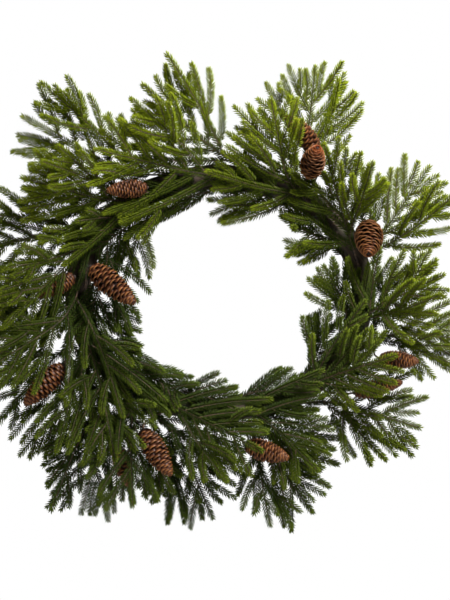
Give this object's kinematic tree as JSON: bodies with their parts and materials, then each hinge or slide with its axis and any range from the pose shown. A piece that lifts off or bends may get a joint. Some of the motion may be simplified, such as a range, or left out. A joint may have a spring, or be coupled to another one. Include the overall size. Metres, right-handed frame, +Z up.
{
  "type": "fresh evergreen wreath",
  "caption": "Oval wreath of fresh spruce sprays and brown cones wired round a ring of twisted vine, hung upright by the vine at its top.",
  "frame": {"origin": "where a hook or nail carries the wreath, on the centre line of the vine at its top", "axes": "+Z up, front towards -Y, +X to the right as seen from the front"},
  "size_m": [0.8778, 0.1504, 0.764],
  "materials": {
    "vine": "rough dark bark with a little moss",
    "wire": "green enamelled florist's wire",
    "cone": "satin red-brown scales",
    "outer_needles": "waxy green needles on brown twigs",
    "front_needles": "waxy yellow-green needles on brown twigs",
    "inner_needles": "waxy deep green needles on brown twigs"
  },
  "bodies": {
    "root": {"vine_ring": "vine", "binding_wire": "wire", "cone_01": "cone", "cone_02": "cone", "cone_03": "cone", "cone_04": "cone", "cone_05": "cone", "cone_06": "cone", "cone_07": "cone", "cone_08": "cone", "cone_09": "cone", "cone_10": "cone", "cone_11": "cone", "cone_12": "cone", "spray_outer_01": "outer_needles", "spray_outer_02": "outer_needles", "spray_outer_03": "outer_needles", "spray_outer_04": "outer_needles", "spray_outer_05": "outer_needles", "spray_outer_06": "outer_needles", "spray_outer_07": "outer_needles", "spray_outer_08": "outer_needles", "spray_outer_09": "outer_needles", "spray_outer_10": "outer_needles", "spray_outer_11": "outer_needles", "spray_outer_12": "outer_needles", "spray_front_01": "front_needles", "spray_front_02": "front_needles", "spray_front_03": "front_needles", "spray_front_04": "front_needles", "spray_front_05": "front_needles", "spray_front_06": "front_needles", "spray_front_07": "front_needles", "spray_front_08": "front_needles", "spray_front_09": "front_needles", "spray_front_10": "front_needles", "spray_front_11": "front_needles", "spray_front_12": "front_needles", "spray_inner_01": "inner_needles", "spray_inner_02": "inner_needles", "spray_inner_03": "inner_needles", "spray_inner_04": "inner_needles", "spray_inner_05": "inner_needles", "spray_inner_06": "inner_needles", "spray_inner_07": "inner_needles", "spray_inner_08": "inner_needles", "spray_inner_09": "inner_needles", "spray_inner_10": "inner_needles", "spray_inner_11": "inner_needles", "spray_inner_12": "inner_needles"}
  },
  "joints": []
}
